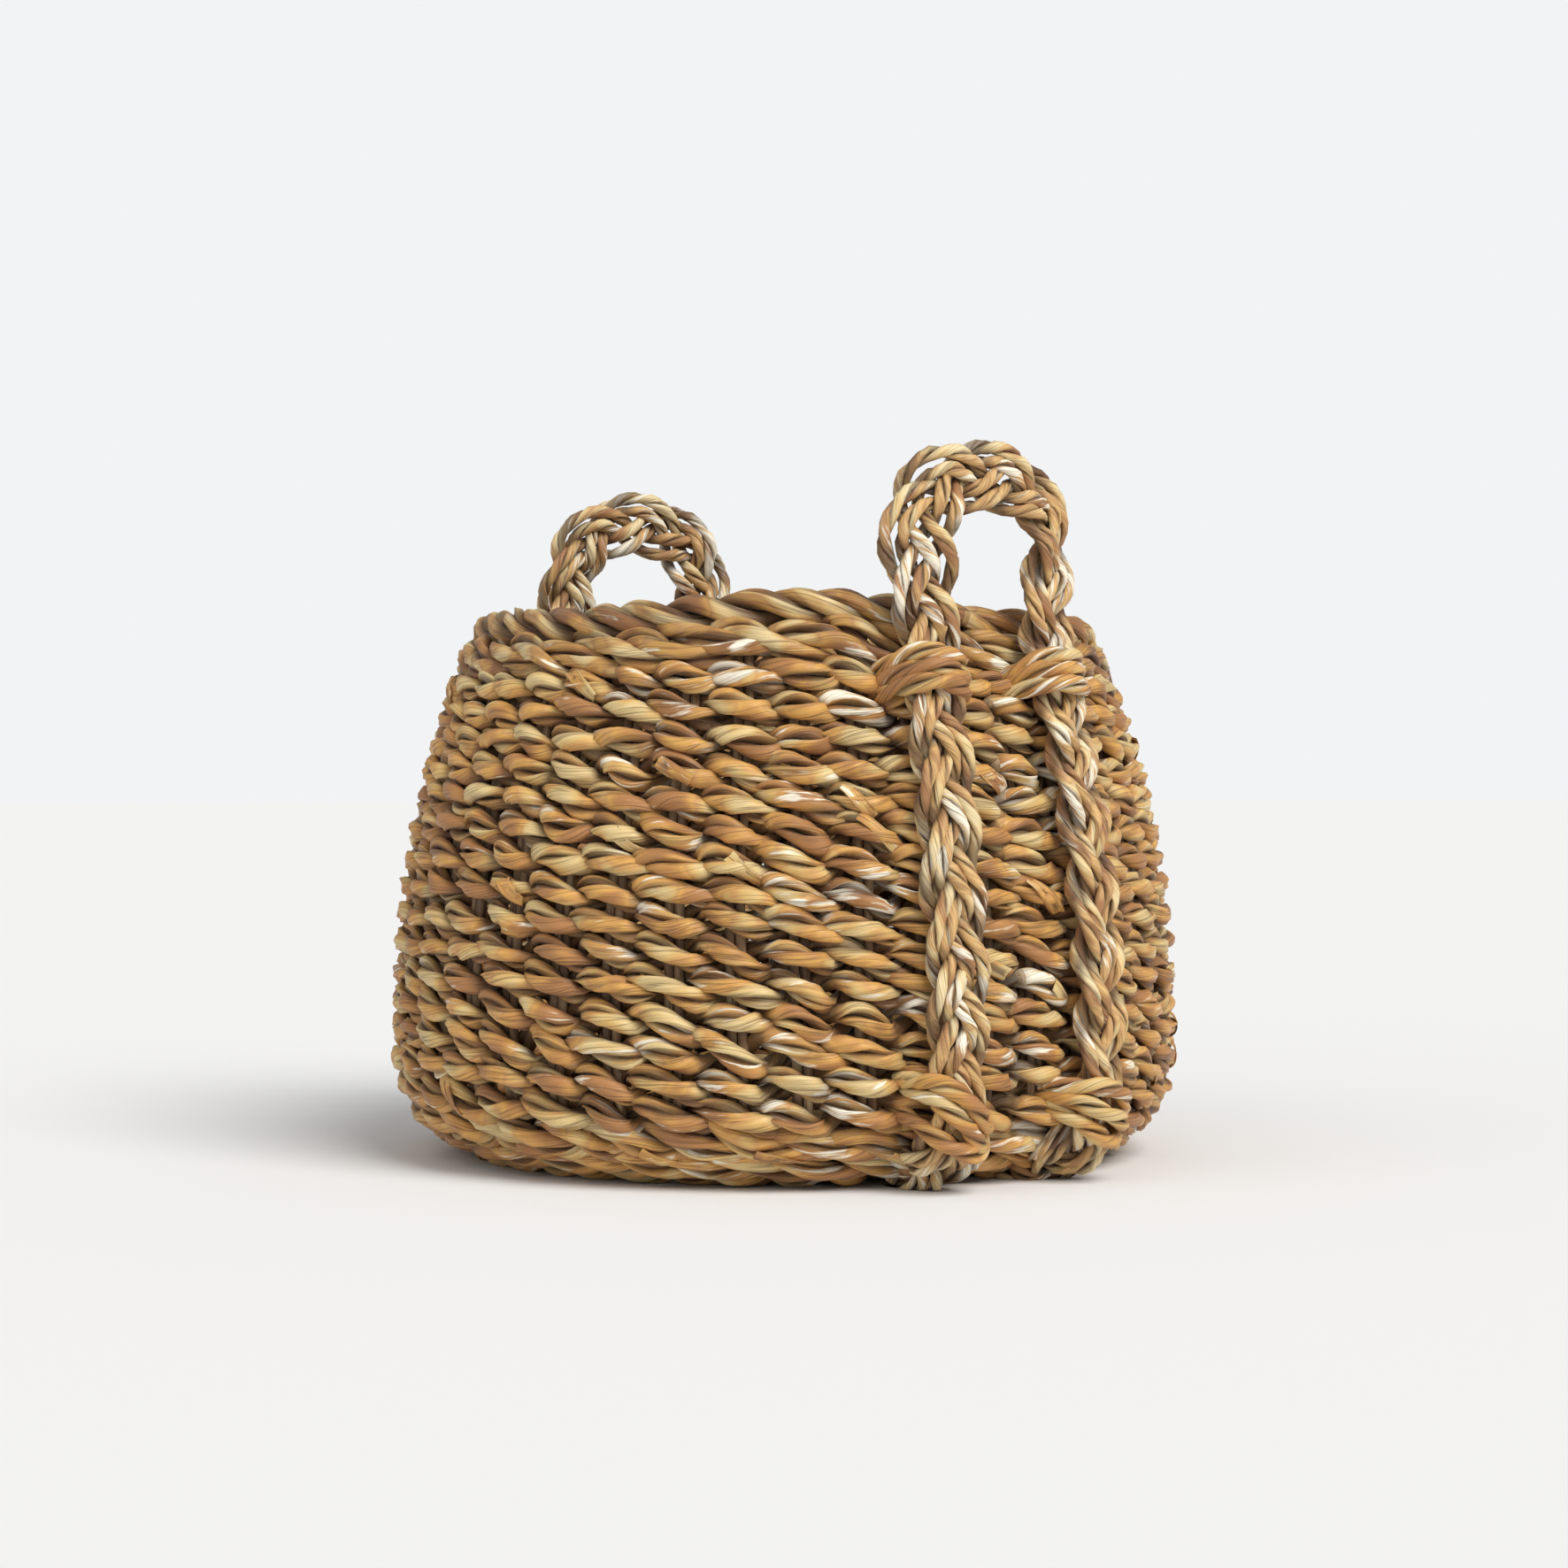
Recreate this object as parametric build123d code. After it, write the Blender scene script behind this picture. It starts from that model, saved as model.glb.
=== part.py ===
from build123d import *
import math
import os

# Seagrass storage basket: a round basket twined from twisted seagrass cord over radial stakes, with a
# plaited handle strap on each side. Millimetres, +Z up, origin at the middle of the face it stands on.
# One handle is at +X and the other near -X. A twined row is two cords, one outside and one inside the stakes;
# each cord is a plain ring here.

# driving dimensions
STAKES = 40  # stakes round the wall, each a flat pair of cords
STAKE_WIDTH = 7.0
STAKE_THICK = 3.4
CORD_THICK = 6.1  # a weaving cord, measured through the wall
ROW_PITCH = 10.5
ROW_GAP = 0.7  # left between one row and the next
FIT_GAP = 0.15  # left between a cord and the stakes
BELLY_RADIUS = 140.5  # middle of the wall at its widest
HEEL_RADIUS = 30.0  # bend from the base into the wall
WALL_STRAIGHT = 12.0  # upright stretch above the heel
WALL_BEND_RADIUS = 371.0  # the wall's long inward curve, up to the rim
WALL_ROWS = 18
BASE_ROWS = 8
CENTRE_RADIUS = 24.0  # woven middle of the base
SHORT_STAKE_START = 68.0  # stakes added part of the way out
RIM_ROW_HEIGHT = 12.0
RIM_ROW_THICK = 7.0
RIM_ROPE_HEIGHT = 13.5
RIM_ROPE_THICK = 15.0
STRAP_WIDTH = 23.0
STRAP_THICK = 12.0
STRAP_CLEARANCE = 9.0  # wall's middle to the strap's inner face
HANDLES = {  # where each handle is round the wall, and how far round its straps are from there
    "right": (0.0, 11.6),
    "left": (176.0, 14.5),
}
STRAP_START = 24.0  # distances up the wall, from where the heel begins
HEEL_LASHING = 38.0
RIM_LASHING = 183.0
HINGE_AT = 199.5
LASHING_HEIGHT = 15.0
LASHING_THICK = 4.5
LOOP_WIDTH = 20.0
LOOP_TOP = 248.0  # middle of the plait at the top of the loop
LOOP_HALF = 33.0  # the loop's middle to the middle of the plait where its sides meet the arch
LOOP_ARCH = 28.0  # radius of the arch
LOOP_LEAN = 2.0  # how far the loop leans in above the rim
LOOP_STANDOFF = 2.0  # keeps the straight loop clear of the round rim
SWING_GAP = 2.2  # left between a strap and the foot of the loop, which isn't quite in line with it
BASE_EDGE = 2.0  # rounding of the base's middle
STRAP_EDGE = 4.0  # rounding along a strap
CUT_PAST = 1.0  # how far a cutting solid runs past what it cuts

# worked out from the driving dimensions
CORD_OFFSET = STAKE_THICK / 2 + FIT_GAP + CORD_THICK / 2
BASE_MIDDLE = CORD_OFFSET + CORD_THICK / 2
HEEL_START = BELLY_RADIUS - HEEL_RADIUS
HEEL_LENGTH = HEEL_RADIUS * math.pi / 2
BEND_START = HEEL_LENGTH + WALL_STRAIGHT
BEND_HEIGHT = BASE_MIDDLE + HEEL_RADIUS + WALL_STRAIGHT
FIRST_ROW = ROW_PITCH / 2
LAST_ROW = FIRST_ROW + (WALL_ROWS - 1) * ROW_PITCH
RIM_ROW_AT = LAST_ROW + (ROW_PITCH + RIM_ROW_HEIGHT) / 2
RIM_ROPE_AT = RIM_ROW_AT + (RIM_ROW_HEIGHT + RIM_ROPE_HEIGHT) / 2 + ROW_GAP
STAKE_TOP = RIM_ROPE_AT - RIM_ROPE_HEIGHT / 2 - FIT_GAP
STRAP_OFFSET = STRAP_CLEARANCE + STRAP_THICK / 2


def wall_point(along, outward=0.0):
    """Radius and height on the wall's middle line, moved outward along its normal, and the line's angle.

    along is measured up the wall from where the heel begins, and is negative on the base.
    """
    if along <= 0:
        return HEEL_START + along, BASE_MIDDLE - outward, 0.0
    if along <= HEEL_LENGTH:
        angle = along / HEEL_RADIUS
        reach = HEEL_RADIUS + outward
        height = BASE_MIDDLE + HEEL_RADIUS - reach * math.cos(angle)
        return HEEL_START + reach * math.sin(angle), height, math.degrees(angle)
    if along <= BEND_START:
        height = BASE_MIDDLE + HEEL_RADIUS + along - HEEL_LENGTH
        return BELLY_RADIUS + outward, height, 90.0
    angle = (along - BEND_START) / WALL_BEND_RADIUS
    reach = WALL_BEND_RADIUS + outward
    radius = BELLY_RADIUS - WALL_BEND_RADIUS + reach * math.cos(angle)
    return radius, BEND_HEIGHT + reach * math.sin(angle), 90.0 + math.degrees(angle)


def wall_side(start, end, outward):
    """The wall's line from start to end, moved outward, as joined lines and arcs in the XZ plane."""
    stops = [start] + [s for s in (0.0, HEEL_LENGTH, BEND_START) if start < s < end] + [end]
    edges = []
    for low, high in zip(stops, stops[1:]):
        spots = (wall_point(s, outward) for s in (low, (low + high) / 2, high))
        points = [Vector(r, 0, z) for r, z, _ in spots]
        straight = high <= 0 or (low >= HEEL_LENGTH and high <= BEND_START)
        edges.append(Edge.make_line(points[0], points[2]) if straight else Edge.make_three_point_arc(*points))
    return edges


def strip(start, end, inner, outer, width):
    """A flat strip that follows the wall's line in the XZ plane, from start to end."""
    low_side = wall_side(start, end, inner)
    high_side = wall_side(start, end, outer)
    caps = [
        Edge.make_line(low_side[0] @ 0, high_side[0] @ 0),
        Edge.make_line(low_side[-1] @ 1, high_side[-1] @ 1),
    ]
    outline = Wire.combine(low_side + high_side + caps)[0]
    return extrude(Face(outline), amount=width / 2, dir=(0, 1, 0), both=True)


def ring(along, outward, height, thick):
    """One weaving cord as a ring: a rounded section that lies along the wall's line, turned about Z."""
    radius, level, angle = wall_point(along, outward)
    section = Plane.XZ * Pos(radius, level) * Rot(0, 0, angle) * SlotOverall(height, thick)
    return revolve(section, Axis.Z)


def cord_height(along, pitch, outward):
    """The room a cord has along the wall: less inside the heel's bend and more outside it."""
    centres = [wall_point(along + step, outward)[:2] for step in (-pitch, 0, pitch)]
    room = min(math.dist(centres[0], centres[1]), math.dist(centres[1], centres[2]))
    return min(room, pitch) - ROW_GAP


def twined_row(along, pitch=ROW_PITCH):
    """The two cords of a row, outside and inside the stakes."""
    return [
        ring(along, side * CORD_OFFSET, cord_height(along, pitch, side * CORD_OFFSET), CORD_THICK)
        for side in (1, -1)
    ]


def write(name, solids):
    """Writes one named sub-part."""
    shapes = solids if isinstance(solids, list) else [solids]
    whole = shapes[0] if len(shapes) == 1 else Compound(children=shapes)
    whole.label = name
    export_step(whole, f"parts/{name}.step")


def base_pieces():
    """The base's middle and its flat twined rows."""
    middle = Cylinder(CENTRE_RADIUS, 2 * BASE_MIDDLE, align=(Align.CENTER, Align.CENTER, Align.MIN))
    write("base_centre", fillet(middle.edges(), BASE_EDGE))
    for row in range(BASE_ROWS):
        along = -ROW_PITCH * (BASE_ROWS - row - 0.5)
        write(f"base_row_{row + 1:02d}", twined_row(along))


def wall_pieces():
    """The wall's twined rows, counted from the heel, and the two thick ropes of the rim."""
    for row in range(WALL_ROWS):
        write(f"wall_row_{row + 1:02d}", twined_row(FIRST_ROW + row * ROW_PITCH))
    offset = STAKE_THICK / 2 + FIT_GAP + RIM_ROW_THICK / 2
    sides = [ring(RIM_ROW_AT, side * offset, RIM_ROW_HEIGHT, RIM_ROW_THICK) for side in (1, -1)]
    write("rim_lower_row", sides)
    radius, level, angle = wall_point(RIM_ROPE_AT)
    place = Plane.XZ * Pos(radius, level) * Rot(0, 0, angle + 90)
    write("rim_rope", revolve(place * SlotOverall(RIM_ROPE_THICK, RIM_ROPE_HEIGHT), Axis.Z))


def stake_pieces():
    """Stakes run out from the base's middle and up the wall. Every second one starts part of the way out."""
    starts = {"long": CENTRE_RADIUS + FIT_GAP, "short": SHORT_STAKE_START}
    half = STAKE_THICK / 2
    stakes = {
        kind: strip(start - HEEL_START, STAKE_TOP, -half, half, STAKE_WIDTH)
        for kind, start in starts.items()
    }
    step = 360 / STAKES
    sides = ("right", "back", "left", "front")
    per_side = STAKES // (2 * len(sides))
    for side, name in enumerate(sides):
        for kind, shift in (("long", 0), ("short", 1)):
            turns = [90 * side - 45 + step * (2 * i + shift + 0.5) for i in range(per_side)]
            write(f"{kind}_stakes_{name}", [Rot(0, 0, turn) * stakes[kind] for turn in turns])


def lengthwise(edge):
    """Whether an edge of a strip runs along the wall rather than across it."""
    return edge.bounding_box().size.Y < FIT_GAP


def handle_strap():
    """The stretch of plait that lies on the wall, from the heel to just under the hinge."""
    end = HINGE_AT - STRAP_THICK / 2 - SWING_GAP
    body = strip(STRAP_START, end, STRAP_CLEARANCE, STRAP_CLEARANCE + STRAP_THICK, STRAP_WIDTH)
    long_edges = [e for e in body.edges() if lengthwise(e) and e.length > 2 * STRAP_THICK]
    return fillet(long_edges, STRAP_EDGE)


def lashing(along):
    """A weaving cord that passes over the strap and holds it to the wall."""
    low, high = along - LASHING_HEIGHT / 2, along + LASHING_HEIGHT / 2
    top = STRAP_CLEARANCE + STRAP_THICK
    wall_face = CORD_OFFSET + CORD_THICK / 2 + FIT_GAP
    outside = strip(low, high, wall_face, top + LASHING_THICK, STRAP_WIDTH + 2 * LASHING_THICK)
    corners = [e for e in outside.edges() if lengthwise(e) and e.length > LASHING_HEIGHT / 2]
    outer_corners = sorted(corners, key=lambda e: -(e @ 0.5).X)[:2]
    outside = fillet(outer_corners, LASHING_THICK)
    passage = strip(low - CUT_PAST, high + CUT_PAST, 0, top + FIT_GAP, STRAP_WIDTH + 2 * FIT_GAP)
    return outside - passage


def handle_loop(strap_angle):
    """The carrying loop: up from both hinge points, past the rim and over in an arch, in one plait."""
    cosine, sine = math.cos(math.radians(strap_angle)), math.sin(math.radians(strap_angle))
    radius, level, _ = wall_point(HINGE_AT, STRAP_OFFSET)
    rim_radius, rim_level, _ = wall_point(RIM_ROPE_AT, STRAP_OFFSET)
    hinge_x, rim_x = (r * cosine + LOOP_STANDOFF for r in (radius, rim_radius))
    half = [
        (hinge_x, radius * sine, level),
        (rim_x, rim_radius * sine, rim_level),
        (rim_x - LOOP_LEAN, LOOP_HALF, LOOP_TOP),
    ]
    points = half + [(x, -y, z) for x, y, z in reversed(half)]
    path = FilletPolyline(*points, radius=[LOOP_ARCH, LOOP_ARCH, LOOP_ARCH, LOOP_ARCH])
    start = Plane(origin=path @ 0, x_dir=(0, 1, 0), z_dir=path % 0)
    body = sweep(start * SlotOverall(LOOP_WIDTH, STRAP_THICK), path=path)
    ends = [
        Plane(origin=(hinge_x, side * radius * sine, level), z_dir=(0, 1, 0))
        * Cylinder(STRAP_THICK / 2, LOOP_WIDTH - STRAP_THICK / 2)
        for side in (1, -1)
    ]
    return body + ends[0] + ends[1]


def handle_pieces():
    """Both handles: two straps each, the lashings that hold them to the wall, and the loop."""
    wall_parts = {
        "strap": handle_strap(),
        "heel_lashing": lashing(HEEL_LASHING),
        "rim_lashing": lashing(RIM_LASHING),
    }
    for handle, (turn, strap_angle) in HANDLES.items():
        for leg, side in (("a", 1), ("b", -1)):
            for part, solid in wall_parts.items():
                write(f"{handle}_{part}_{leg}", Rot(0, 0, turn + side * strap_angle) * solid)
        write(f"{handle}_handle_loop", Rot(0, 0, turn) * handle_loop(strap_angle))


os.makedirs("parts", exist_ok=True)
base_pieces()
wall_pieces()
stake_pieces()
handle_pieces()
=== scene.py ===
import math
import bpy
import numpy as np
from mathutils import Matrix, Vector


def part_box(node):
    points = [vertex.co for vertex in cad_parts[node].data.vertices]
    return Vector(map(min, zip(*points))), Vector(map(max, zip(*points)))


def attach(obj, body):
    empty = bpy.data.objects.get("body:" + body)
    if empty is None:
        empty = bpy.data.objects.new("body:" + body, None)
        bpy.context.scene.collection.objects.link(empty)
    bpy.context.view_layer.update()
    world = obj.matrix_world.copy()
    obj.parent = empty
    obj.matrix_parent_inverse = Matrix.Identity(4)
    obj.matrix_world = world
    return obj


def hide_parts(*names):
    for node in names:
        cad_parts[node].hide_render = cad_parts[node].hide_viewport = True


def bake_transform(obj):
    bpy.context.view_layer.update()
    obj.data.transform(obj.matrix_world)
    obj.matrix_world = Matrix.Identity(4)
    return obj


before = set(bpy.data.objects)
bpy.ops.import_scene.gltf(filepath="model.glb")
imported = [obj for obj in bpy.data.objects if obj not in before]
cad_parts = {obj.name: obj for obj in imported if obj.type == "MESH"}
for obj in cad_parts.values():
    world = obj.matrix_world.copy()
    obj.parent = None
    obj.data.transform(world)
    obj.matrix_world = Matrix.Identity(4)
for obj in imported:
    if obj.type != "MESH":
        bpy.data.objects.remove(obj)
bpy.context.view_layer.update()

print("frame loaded,", len(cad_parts), "nodes")


# the wall's line, shared by every piece
wallShape = {
    "halfThick": 0.00795,
    "heelRadius": 0.030,
    "straight": 0.012,      # upright stretch above the heel
    "bendRadius": 0.371,    # long inward curve up to the rim
    "rowPitch": 0.0105,
    "stakes": 40,
    "sway": 0.0011,         # how far rows wander up and down
    "swayFrom": 0.35,       # share of it at the heel
    "swayFull": 0.2,        # how far up the wall it is whole
    "settled": 0.03,        # no wander at the heel's start, and all of its share from here up
    "humpAt": -28.0,        # degrees round, where the rim rides high
    "humpWide": 26.0,
    "humpHigh": 0.0042,
    "paleAt": -14.0,        # degrees round, where the pale mask is strongest: pale leaf, and painted highlight on the side the key light falls on
    "paleWide": 55.0,
    "seed": 11,
}
belly = float(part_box("wall_row_05")[1][0]) - wallShape["halfThick"]
baseLow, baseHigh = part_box("base_row_04")
baseMiddle = (float(baseLow[2]) + float(baseHigh[2])) / 2
heelStart = belly - wallShape["heelRadius"]
heelLength = wallShape["heelRadius"] * math.pi / 2
bendStart = heelLength + wallShape["straight"]


def wallLine(along, outward):
    # radius and height on the wall, moved outward along its normal
    along, outward = np.broadcast_arrays(np.asarray(along, float), np.asarray(outward, float))
    heel, bend = wallShape["heelRadius"], wallShape["bendRadius"]
    turnHeel = np.clip(along / heel, 0, math.pi / 2)
    turnBend = np.clip(along - bendStart, 0, None) / bend
    radius = heelStart + np.minimum(along, 0) + (heel + outward) * np.sin(turnHeel)
    radius += (bend + outward) * (np.cos(turnBend) - 1)
    height = baseMiddle + heel - (heel + outward) * np.cos(turnHeel)
    height += np.clip(along - heelLength, 0, wallShape["straight"]) + (bend + outward) * np.sin(turnBend)
    return radius, height


def degreesFrom(turn, middle):
    return (np.degrees(turn) - middle + 180) % 360 - 180


def swayAt(turn, along):
    # slow up and down wander, stronger towards the rim, plus the rim's high place
    seed = wallShape["seed"]
    rise = np.clip(np.asarray(along) / wallShape["swayFull"], 0, 1)
    wave = np.sin(2 * turn + seed) + 0.8 * np.sin(3 * turn + 9 * rise) + 0.5 * np.sin(5 * turn - 14 * rise)
    away = degreesFrom(turn, wallShape["humpAt"])
    hump = np.exp(-(away / wallShape["humpWide"]) ** 2) * wallShape["humpHigh"] * rise ** 3
    share = wallShape["swayFrom"] + (1 - wallShape["swayFrom"]) * rise
    return wallShape["sway"] * wave * share + hump


def settledSway(turn, along):
    # the base stays flat
    return swayAt(turn, along) * np.clip(along / wallShape["settled"], 0, 1)


def onRing(radius, turn, height):
    radius, turn, height = np.broadcast_arrays(radius, turn, height)
    return np.stack([radius * np.cos(turn), radius * np.sin(turn), height], axis=1)


def unit(vectors):
    return vectors / np.linalg.norm(vectors, axis=1)[:, None]


def smoothRandom(rng, count, low, high):
    # one value a step round a closed ring, read smoothly between steps
    values = rng.uniform(low, high, count)
    return lambda s: np.interp(np.asarray(s) % count, np.arange(count + 1), np.append(values, values[0]))


def openRandom(rng, length, count, low, high):
    # the same along a cord with two ends
    return np.interp(length, np.linspace(0, length[-1], count), rng.uniform(low, high, count))


# paths: polylines that carry what a cord needs at each point
farCore = 0.05      # for a cord that has nothing around it to be buried in


def pathMesh(name, strands):
    # strands: dictionaries with points, side, core, thick, lay, tone, pale and closed
    mesh = bpy.data.meshes.new(name)
    edges, start = [], 0
    for strand in strands:
        count = len(strand["points"])
        run = np.arange(start, start + count)
        pairs = np.stack([run, np.roll(run, -1)], axis=1)
        edges.append(pairs if strand["closed"] else pairs[:-1])
        start += count
        side = np.broadcast_to(strand["side"], strand["points"].shape)
        strand.setdefault("core", strand["points"] - farCore * side)
    points = np.concatenate([s["points"] for s in strands])
    mesh.vertices.add(len(points))
    mesh.vertices.foreach_set("co", points.astype(np.float32).ravel())
    edges = np.concatenate(edges)
    mesh.edges.add(len(edges))
    mesh.edges.foreach_set("vertices", edges.astype(np.int32).ravel())
    for key in ("thick", "lay", "tone", "pale", "side", "core"):
        vector = key in ("side", "core")
        values = []
        for strand in strands:
            shape = strand["points"].shape if vector else len(strand["points"])
            values.append(np.broadcast_to(strand.get(key, 0.0), shape))
        field = mesh.attributes.new(key, "FLOAT_VECTOR" if vector else "FLOAT", "POINT")
        flat = np.concatenate(values).astype(np.float32).ravel()
        field.data.foreach_set("vector" if vector else "value", flat)
    mesh.update()
    return mesh


def lengthAlong(points, closed):
    steps = np.linalg.norm(np.roll(points, -1, axis=0) - points, axis=1)
    total = steps.sum() if closed else steps[:-1].sum()
    return np.concatenate([[0], np.cumsum(steps[:-1])]), total


# Geometry Nodes: a laid cord of several plies along each path
def addNode(tree, kind, links=None, **settings):
    # settings are node properties, links go to sockets by name or number
    node = tree.nodes.new(kind)
    for key, value in settings.items():
        setattr(node, key, value)
    for key, value in (links or {}).items():
        socket = node.inputs[key]
        if isinstance(value, bpy.types.NodeSocket):
            tree.links.new(value, socket)
        else:
            socket.default_value = value
    return node


def maths(tree, operation, *values):
    node = addNode(tree, "ShaderNodeMath", dict(enumerate(values)), operation=operation)
    return node.outputs[0]


def times(tree, first, *others):
    for other in others:
        first = maths(tree, "MULTIPLY", first, other)
    return first


def vectorMaths(tree, operation, *values, scale=None):
    links = dict(enumerate(values))
    if scale is not None:
        links["Scale"] = scale
    node = addNode(tree, "ShaderNodeVectorMath", links, operation=operation)
    return node.outputs["Value" if operation in ("LENGTH", "DOT_PRODUCT") else "Vector"]


def smoothStep(tree, value, low, high, toLow=0.0, toHigh=1.0):
    links = {"Value": value, "From Min": low, "From Max": high, "To Min": toLow, "To Max": toHigh}
    return addNode(tree, "ShaderNodeMapRange", links, interpolation_type="SMOOTHSTEP").outputs[0]


def attribute(tree, name, kind="FLOAT"):
    return addNode(tree, "GeometryNodeInputNamedAttribute", {"Name": name}, data_type=kind).outputs[0]


def store(tree, geometry, name, value, kind="FLOAT", domain="POINT"):
    links = {"Geometry": geometry, "Name": name, "Value": value}
    return addNode(tree, "GeometryNodeStoreNamedAttribute", links, data_type=kind, domain=domain).outputs[0]


def position(tree):
    return addNode(tree, "GeometryNodeInputPosition").outputs[0]


def moveBy(tree, geometry, offset):
    return addNode(tree, "GeometryNodeSetPosition", {"Geometry": geometry, "Offset": offset}).outputs[0]


cordInputs = (
    ("Path", "Geometry"), ("Plies", "Int"), ("Offset Across", "Float"), ("Offset Up", "Float"),
    ("Ply Deep", "Float"), ("Ply Wide", "Float"), ("Sides", "Int"), ("Keen Edge", "Float"),
    ("Swell", "Float"), ("Roll", "Float"), ("Groove Low", "Float"), ("Groove High", "Float"),
    ("Wrinkle", "Float"), ("Seed", "Int"), ("Finish", "Material"),
)
cordDetail = {
    "swellOften": 45.0,     # swells and thin places, a metre of ply
    "rollOften": 38.0,
    "lanes": 90.0,          # keeps one ply's noise clear of the next one's
    "grainScale": 100.0,
    "toneApart": 37.0,
    "plyApart": (61.0, 17.0, 29.0),
    "ridges": (0.45, 1.15, 1.15),
    "proud": (0.42, 0.84),  # from buried to in the open, as a share of the cord's radius
}


def spreadPlies(tree, given):
    # one copy of the path for each ply, laid round the path
    side = attribute(tree, "side", "FLOAT_VECTOR")
    curve = addNode(tree, "GeometryNodeMeshToCurve", {"Mesh": given["Path"]}).outputs[0]
    links = {"Curve": curve, "Normal": side}
    curve = addNode(tree, "GeometryNodeSetCurveNormal", links, mode="FREE").outputs[0]
    curve = store(tree, curve, "run", addNode(tree, "GeometryNodeSplineParameter").outputs["Length"])
    links = {"Geometry": curve, "Amount": given["Plies"]}
    plies = addNode(tree, "GeometryNodeDuplicateElements", links, domain="SPLINE")
    share = maths(tree, "DIVIDE", plies.outputs["Duplicate Index"], given["Plies"])
    turn = maths(tree, "MULTIPLY_ADD", share, 2 * math.pi, attribute(tree, "lay"))
    curve = store(tree, plies.outputs["Geometry"], "turn", turn)
    turn, thick = attribute(tree, "turn"), attribute(tree, "thick")
    tangent = addNode(tree, "GeometryNodeInputTangent").outputs[0]
    up = vectorMaths(tree, "CROSS_PRODUCT", tangent, side)
    across = times(tree, maths(tree, "COSINE", turn), given["Offset Across"], thick)
    above = times(tree, maths(tree, "SINE", turn), given["Offset Up"], thick)
    across = vectorMaths(tree, "SCALE", side, scale=across)
    above = vectorMaths(tree, "SCALE", up, scale=above)
    pick = addNode(tree, "FunctionNodeRandomValue", {"Seed": given["Seed"]}, data_type="FLOAT_VECTOR")
    curve = store(tree, curve, "ply", pick.outputs[0], "FLOAT_VECTOR", "CURVE")
    curve = store(tree, curve, "axis", position(tree), "FLOAT_VECTOR")
    return moveBy(tree, curve, vectorMaths(tree, "ADD", across, above))


def varyPlies(tree, given, curve):
    # each ply swells, thins and rolls over a little along its length
    own = addNode(tree, "ShaderNodeSeparateXYZ", {"Vector": attribute(tree, "ply", "FLOAT_VECTOR")}).outputs
    wander = []
    for lane, often in enumerate((cordDetail["swellOften"], cordDetail["rollOften"])):
        run, aside = attribute(tree, "run"), times(tree, own[lane], cordDetail["lanes"])
        place = addNode(tree, "ShaderNodeCombineXYZ", {"X": times(tree, run, often), "Y": aside}).outputs[0]
        noise = addNode(tree, "ShaderNodeTexNoise", {"Vector": place, "Scale": 1.0, "Detail": 1.0}).outputs[0]
        wander.append(maths(tree, "SUBTRACT", noise, 0.5))
    swell = maths(tree, "MULTIPLY_ADD", wander[0], given["Swell"], 1.0)
    radius = times(tree, swell, attribute(tree, "thick"))
    curve = addNode(tree, "GeometryNodeSetCurveRadius", {"Curve": curve, "Radius": radius}).outputs[0]
    tilt = maths(tree, "MULTIPLY_ADD", wander[1], given["Roll"], attribute(tree, "turn"))
    return addNode(tree, "GeometryNodeSetCurveTilt", {"Curve": curve, "Tilt": tilt}).outputs[0]


def plySection(tree, given):
    # an oval, drawn in towards its two edges where they are keen
    links = {"Resolution": given["Sides"], "Radius": 1.0}
    profile = addNode(tree, "GeometryNodeCurvePrimitiveCircle", links).outputs[0]
    index = addNode(tree, "GeometryNodeInputIndex").outputs[0]
    around = times(tree, maths(tree, "DIVIDE", index, given["Sides"]), 2 * math.pi)
    profile = store(tree, profile, "around", around)
    around = attribute(tree, "around")
    cosine = maths(tree, "COSINE", around)
    thin = maths(tree, "POWER", maths(tree, "ABSOLUTE", cosine), given["Keen Edge"])
    deep = times(tree, cosine, thin, given["Ply Deep"])
    wide = times(tree, maths(tree, "SINE", around), given["Ply Wide"])
    section = addNode(tree, "ShaderNodeCombineXYZ", {"X": deep, "Y": wide}).outputs[0]
    return addNode(tree, "GeometryNodeSetPosition", {"Geometry": profile, "Position": section}).outputs[0]


def wrinkleLeaf(tree, given, body):
    # grain follows the ply, and rolled leaf has low ridges along it
    angle = attribute(tree, "around")
    start = times(tree, attribute(tree, "tone"), cordDetail["toneApart"])
    length = maths(tree, "MULTIPLY_ADD", attribute(tree, "run"), cordDetail["grainScale"], start)
    links = {"X": length, "Y": maths(tree, "COSINE", angle), "Z": maths(tree, "SINE", angle)}
    grain = addNode(tree, "ShaderNodeCombineXYZ", links).outputs[0]
    ply = attribute(tree, "ply", "FLOAT_VECTOR")
    grain = vectorMaths(tree, "MULTIPLY_ADD", ply, cordDetail["plyApart"], grain)
    body = store(tree, body, "grain", grain, "FLOAT_VECTOR")
    ridge = vectorMaths(tree, "MULTIPLY", attribute(tree, "grain", "FLOAT_VECTOR"), cordDetail["ridges"])
    lumps = addNode(tree, "ShaderNodeTexNoise", {"Vector": ridge, "Scale": 1.0, "Detail": 1.0}).outputs[0]
    push = times(tree, maths(tree, "SUBTRACT", lumps, 0.5), given["Wrinkle"])
    outward = addNode(tree, "GeometryNodeInputNormal").outputs[0]
    return moveBy(tree, body, vectorMaths(tree, "SCALE", outward, scale=push))


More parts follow.
